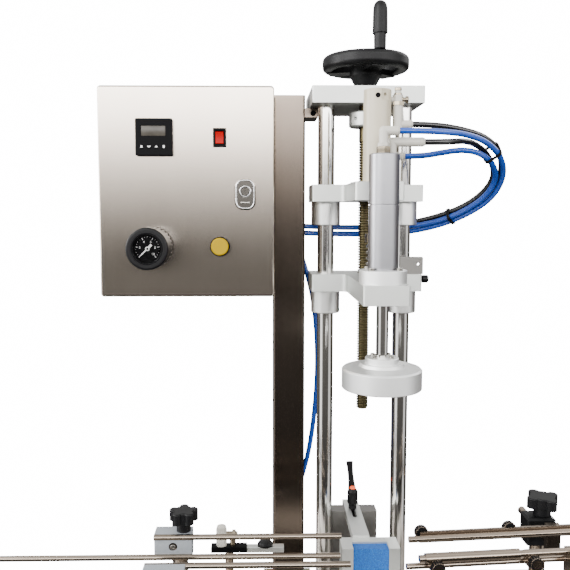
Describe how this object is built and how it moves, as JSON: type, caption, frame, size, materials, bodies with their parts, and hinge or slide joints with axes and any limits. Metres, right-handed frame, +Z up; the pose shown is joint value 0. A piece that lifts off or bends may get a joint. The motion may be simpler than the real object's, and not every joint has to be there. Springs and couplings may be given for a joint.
{
  "type": "bottle capping machine",
  "caption": "Bench-top bottle capping machine: air motor spindle on a two-column slide, handwheel height setting, control box and adjustable bottle guide rails.",
  "frame": {"origin": "the point of the bottle track where the bottle stands, under the spindle axis", "axes": "+Z up, +Y to the rear of the machine, +X to the right as seen from the front"},
  "size_m": [0.8994, 0.42, 1.023],
  "materials": {
    "deck_steel": "brushed",
    "box_steel": "brushed",
    "post_steel": "brushed",
    "chrome_rod": "polished",
    "machined_aluminium": "satin",
    "screw_steel": "machined",
    "black_plastic": "moulded",
    "white_plastic": "moulded",
    "cylinder_white": "satin",
    "spring_steel": "polished",
    "red_plastic": "gloss",
    "yellow_plastic": "gloss",
    "gauge_glass": "clear",
    "needle_white": "matt",
    "liner_rubber": "matt",
    "blue_foam": "matt",
    "blue_hose": "gloss",
    "black_hose": "gloss"
  },
  "bodies": {
    "base": {"base_deck": "deck_steel", "rubber_feet": "liner_rubber", "guide_columns": "chrome_rod", "top_plate": "machined_aluminium", "rear_post": "post_steel", "enclosure_body": "box_steel", "hinge_pins": "chrome_rod", "holder_post": "machined_aluminium", "guide_stands": "deck_steel", "clamp_block": "black_plastic", "hose_drop": "blue_hose"},
    "door": {"enclosure_door": "box_steel", "timer_housing": "black_plastic", "switch_bezel": "black_plastic", "button_collar": "black_plastic", "latch_plate": "chrome_rod", "regulator_body": "black_plastic", "gauge_case": "black_plastic", "gauge_lens": "gauge_glass"},
    "latch": {"latch_barrel": "chrome_rod"},
    "rocker": {"red_switch_cap": "red_plastic"},
    "button": {"yellow_button_cap": "yellow_plastic"},
    "regulator_dial": {"regulator_knob": "black_plastic"},
    "needle": {"gauge_needle": "needle_white"},
    "wheel": {"handwheel": "black_plastic", "lead_screw": "screw_steel", "screw_collar": "machined_aluminium"},
    "grip": {"handle_grip": "black_plastic"},
    "bridge": {"upper_bridge": "machined_aluminium", "screw_nut": "screw_steel", "bridge_bushes": "machined_aluminium", "air_cylinder": "cylinder_white", "cylinder_fittings": "white_plastic", "hose_blue_return": "blue_hose", "hose_black_cylinder": "black_hose"},
    "carriage": {"lower_carriage": "machined_aluminium", "carriage_bushes": "machined_aluminium", "piston_rod": "chrome_rod", "press_spring": "spring_steel", "motor_flange": "machined_aluminium", "air_motor": "machined_aluminium", "motor_fittings": "white_plastic", "sensor_bracket": "machined_aluminium", "bracket_knob": "black_plastic", "hose_blue_motor": "blue_hose", "hose_black_motor": "black_hose"},
    "spindle": {"spindle_shaft": "chrome_rod", "capping_disc": "machined_aluminium", "cap_liner": "liner_rubber"},
    "holder": {"holder_arm": "machined_aluminium", "holder_pad": "blue_foam"},
    "lever": {"clamp_lever": "black_plastic"},
    "rear_left_rail": {"guide_left_rear": "deck_steel"},
    "front_left_rail": {"guide_left_front": "deck_steel"},
    "rear_right_rail": {"guide_right_rear": "deck_steel"},
    "front_right_rail": {"guide_right_front": "deck_steel"},
    "rear_left_knob": {"knob_left_rear": "black_plastic"},
    "front_left_knob": {"knob_left_front": "black_plastic"},
    "rear_right_knob": {"knob_right_rear": "black_plastic"},
    "front_right_knob": {"knob_right_front": "black_plastic"}
  },
  "joints": [
    {"name": "wheel_turn", "type": "hinge", "parent": "base", "child": "wheel", "pos_m": [0, 0.172, 0.8], "axis": [0, 0, 1], "range_deg": [-1800, 7200]},
    {"name": "bridge_slide", "type": "slide", "parent": "base", "child": "bridge", "axis": [0, 0, 1], "range_m": [-0.0801, 0.0201]},
    {"name": "grip_turn", "type": "hinge", "parent": "wheel", "child": "grip", "pos_m": [0.01237, 0.11841, 0.85], "axis": [0, 0, 1], "continuous": true},
    {"name": "press_slide", "type": "slide", "parent": "bridge", "child": "carriage", "axis": [0, 0, 1], "range_m": [-0.05, 0], "deforming": ["hose_blue_motor", "hose_black_motor"]},
    {"name": "spindle_spin", "type": "hinge", "parent": "carriage", "child": "spindle", "pos_m": [0, 0, 0.4], "axis": [0, 0, 1], "continuous": true},
    {"name": "door_swing", "type": "hinge", "parent": "base", "child": "door", "pos_m": [-0.3815, 0.11, 0.62], "axis": [0, 0, -1], "range_deg": [0, 105]},
    {"name": "latch_turn", "type": "hinge", "parent": "door", "child": "latch", "pos_m": [-0.181, 0.1, 0.621], "axis": [0, 1, 0], "range_deg": [0, 90]},
    {"name": "switch_rock", "type": "hinge", "parent": "door", "child": "rocker", "pos_m": [-0.217, 0.104, 0.697], "axis": [1, 0, 0], "range_deg": [-7, 0]},
    {"name": "button_press", "type": "slide", "parent": "door", "child": "button", "axis": [0, 1, 0], "range_m": [0, 0.004], "stiffness_N_per_m": 600, "springref_m": -0.002},
    {"name": "regulator_turn", "type": "hinge", "parent": "door", "child": "regulator_dial", "pos_m": [-0.313, 0.06, 0.542], "axis": [0, 1, 0], "range_deg": [-270, 270]},
    {"name": "needle_swing", "type": "hinge", "parent": "door", "child": "needle", "pos_m": [-0.313, 0.048, 0.542], "axis": [0, 1, 0], "range_deg": [0, 270]},
    {"name": "holder_slide", "type": "slide", "parent": "base", "child": "holder", "axis": [0, 1, 0], "range_m": [-0.02, 0.02]},
    {"name": "lever_turn", "type": "hinge", "parent": "base", "child": "lever", "pos_m": [-0.01, 0.197, 0.12], "axis": [0, 0, 1], "range_deg": [-60, 60]},
    {"name": "rear_left_slide", "type": "slide", "parent": "base", "child": "rear_left_rail", "axis": [0, 1, 0], "range_m": [-0.01, 0.03]},
    {"name": "front_left_slide", "type": "slide", "parent": "base", "child": "front_left_rail", "axis": [0, 1, 0], "range_m": [-0.03, 0.01]},
    {"name": "rear_right_slide", "type": "slide", "parent": "base", "child": "rear_right_rail", "axis": [0, 1, 0], "range_m": [-0.01, 0.03]},
    {"name": "front_right_slide", "type": "slide", "parent": "base", "child": "front_right_rail", "axis": [0, 1, 0], "range_m": [-0.03, 0.01]},
    {"name": "rear_left_knob_turn", "type": "hinge", "parent": "rear_left_rail", "child": "rear_left_knob", "pos_m": [-0.2695, 0.0615, 0.15], "axis": [0, 0, 1], "range_deg": [-180, 180]},
    {"name": "front_left_knob_turn", "type": "hinge", "parent": "front_left_rail", "child": "front_left_knob", "pos_m": [-0.2695, -0.0475, 0.09], "axis": [0, 0, 1], "range_deg": [-180, 180]},
    {"name": "rear_right_knob_turn", "type": "hinge", "parent": "base", "child": "rear_right_knob", "pos_m": [0.2735, 0.129, 0.15], "axis": [0, 0, 1], "range_deg": [-180, 180]},
    {"name": "front_right_knob_turn", "type": "hinge", "parent": "front_right_rail", "child": "front_right_knob", "pos_m": [0.2815, -0.02671, 0.09], "axis": [0, 0, 1], "range_deg": [-180, 180]}
  ],
  "couplings": [
    {"joint": "bridge_slide", "follows": "wheel_turn", "m_per_rad": -0.00063662}
  ]
}
